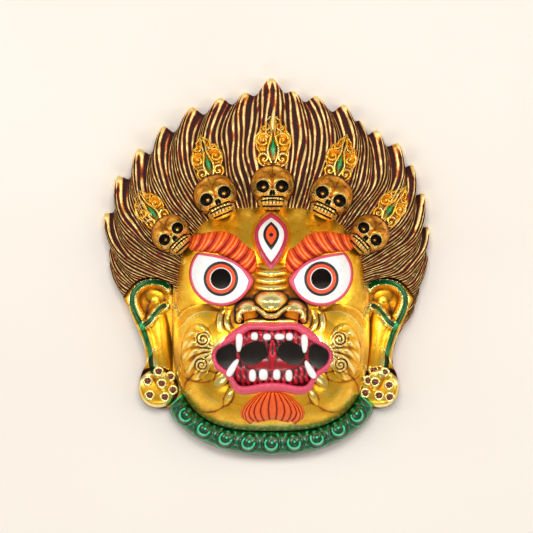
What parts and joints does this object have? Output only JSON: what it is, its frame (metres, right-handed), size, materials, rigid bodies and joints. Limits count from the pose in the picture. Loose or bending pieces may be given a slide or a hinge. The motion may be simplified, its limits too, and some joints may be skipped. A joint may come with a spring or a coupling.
{
  "type": "kirtimukha wall mask",
  "caption": "Hollow cast wall mask of a wrathful guardian with a skull crown, flame-edged hair, studded ear ornaments and a scalloped collar.",
  "frame": {"origin": "centre of the flat back, under the middle of the mask's outline", "axes": "+Z out of the face, away from the back it lies on; +Y from the chin to the crown; +X towards the viewer's right"},
  "size_m": [0.2604, 0.3012, 0.0833],
  "materials": {
    "gilded_resin": "cast resin painted in bright gilt with dark toning in the hollows; the hair is bronze over dark maroon, the brows and beard orange, the lips and eye rims rose, the collar and ear grooves green, the teeth and eyes white, the pupil rings black, the studs dark red"
  },
  "bodies": {
    "root": {"mask": "gilded_resin"}
  },
  "joints": []
}
